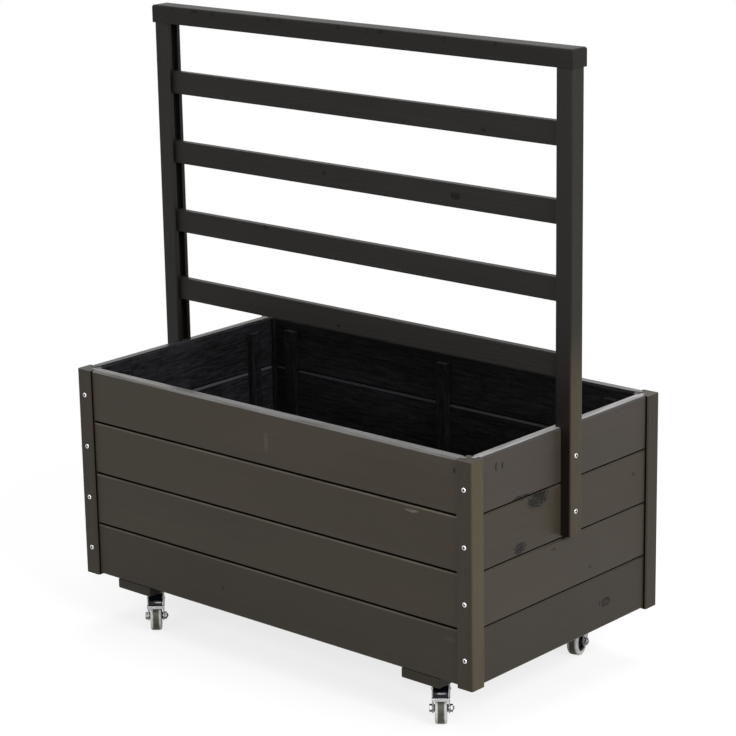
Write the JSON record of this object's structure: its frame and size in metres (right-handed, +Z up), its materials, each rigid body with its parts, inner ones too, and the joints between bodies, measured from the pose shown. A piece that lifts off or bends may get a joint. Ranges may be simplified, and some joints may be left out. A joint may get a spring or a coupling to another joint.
{
  "type": "rolling planter",
  "caption": "Rectangular tongue and groove wooden planter box on swivel casters, with a slatted trellis and cap rail across its middle.",
  "frame": {"origin": "on the floor, under the middle of the box", "axes": "+Z up, +X along the long side to the viewer's right, -Y towards the front with the braked casters"},
  "size_m": [1.039, 0.562, 1.217],
  "materials": {
    "box_wood": "dark stained softwood, satin",
    "trellis_wood": "dark stained softwood, satin",
    "inside_wood": "dark stained rough sawn softwood",
    "caster_steel": "bright zinc plated, pressed",
    "screw_steel": "bright zinc plated",
    "hub_plastic": "moulded, matt",
    "tyre_rubber": "grey solid rubber, matt"
  },
  "bodies": {
    "root": {"post_front_left": "box_wood", "post_front_right": "box_wood", "post_back_left": "box_wood", "post_back_right": "box_wood", "front_board_1": "box_wood", "front_board_2": "box_wood", "front_board_3": "box_wood", "front_board_4": "box_wood", "back_board_1": "box_wood", "back_board_2": "box_wood", "back_board_3": "box_wood", "back_board_4": "box_wood", "left_board_1": "box_wood", "left_board_2": "box_wood", "left_board_3": "box_wood", "left_board_4": "box_wood", "right_board_1": "box_wood", "right_board_2": "box_wood", "right_board_3": "box_wood", "right_board_4": "box_wood", "long_wall_cleats": "inside_wood", "short_wall_cleats": "inside_wood", "floor_boards": "inside_wood", "beam_left": "box_wood", "beam_right": "box_wood", "trellis_post_left": "trellis_wood", "trellis_post_right": "trellis_wood", "trellis_cap": "trellis_wood", "trellis_slat_1": "trellis_wood", "trellis_slat_2": "trellis_wood", "trellis_slat_3": "trellis_wood", "trellis_slat_4": "trellis_wood", "caster_plate_front_left": "caster_steel", "caster_plate_front_right": "caster_steel", "caster_plate_back_left": "caster_steel", "caster_plate_back_right": "caster_steel", "post_screws": "screw_steel", "trellis_screws": "screw_steel", "cleat_screws": "screw_steel", "beam_screws": "screw_steel", "caster_screws": "screw_steel"},
    "swivel_front_left": {"caster_fork_front_left": "caster_steel", "caster_axle_front_left": "caster_steel"},
    "wheel_front_left": {"caster_hub_front_left": "hub_plastic", "caster_tyre_front_left": "tyre_rubber"},
    "pedal_front_left": {"brake_pedal_front_left": "caster_steel"},
    "swivel_front_right": {"caster_fork_front_right": "caster_steel", "caster_axle_front_right": "caster_steel"},
    "wheel_front_right": {"caster_hub_front_right": "hub_plastic", "caster_tyre_front_right": "tyre_rubber"},
    "pedal_front_right": {"brake_pedal_front_right": "caster_steel"},
    "swivel_back_left": {"caster_fork_back_left": "caster_steel", "caster_axle_back_left": "caster_steel"},
    "wheel_back_left": {"caster_hub_back_left": "hub_plastic", "caster_tyre_back_left": "tyre_rubber"},
    "swivel_back_right": {"caster_fork_back_right": "caster_steel", "caster_axle_back_right": "caster_steel"},
    "wheel_back_right": {"caster_hub_back_right": "hub_plastic", "caster_tyre_back_right": "tyre_rubber"}
  },
  "joints": [
    {"name": "swivel_turn_front_left", "type": "hinge", "parent": "root", "child": "swivel_front_left", "pos_m": [-0.372, -0.214, 0.075], "axis": [0, 0, 1], "continuous": true},
    {"name": "wheel_spin_front_left", "type": "hinge", "parent": "swivel_front_left", "child": "wheel_front_left", "pos_m": [-0.35672, -0.22983, 0.029], "axis": [0.7193, 0.6947, 0], "continuous": true},
    {"name": "pedal_press_front_left", "type": "hinge", "parent": "swivel_front_left", "child": "pedal_front_left", "pos_m": [-0.36644, -0.21975, 0.061], "axis": [0.7193, 0.6947, 0], "range_deg": [0, 8]},
    {"name": "swivel_turn_front_right", "type": "hinge", "parent": "root", "child": "swivel_front_right", "pos_m": [0.372, -0.214, 0.075], "axis": [0, 0, 1], "continuous": true},
    {"name": "wheel_spin_front_right", "type": "hinge", "parent": "swivel_front_right", "child": "wheel_front_right", "pos_m": [0.38585, -0.2311, 0.029], "axis": [0.7771, 0.6293, 0], "continuous": true},
    {"name": "pedal_press_front_right", "type": "hinge", "parent": "swivel_front_right", "child": "pedal_front_right", "pos_m": [0.37703, -0.22022, 0.061], "axis": [0.7771, 0.6293, 0], "range_deg": [0, 8]},
    {"name": "swivel_turn_back_left", "type": "hinge", "parent": "root", "child": "swivel_back_left", "pos_m": [-0.372, 0.214, 0.075], "axis": [0, 0, 1], "continuous": true},
    {"name": "wheel_spin_back_left", "type": "hinge", "parent": "swivel_back_left", "child": "wheel_back_left", "pos_m": [-0.37732, 0.19265, 0.029], "axis": [0.9703, -0.2419, 0], "continuous": true},
    {"name": "swivel_turn_back_right", "type": "hinge", "parent": "root", "child": "swivel_back_right", "pos_m": [0.372, 0.214, 0.075], "axis": [0, 0, 1], "continuous": true},
    {"name": "wheel_spin_back_right", "type": "hinge", "parent": "swivel_back_right", "child": "wheel_back_right", "pos_m": [0.37732, 0.19265, 0.029], "axis": [0.9703, 0.2419, 0], "continuous": true}
  ]
}
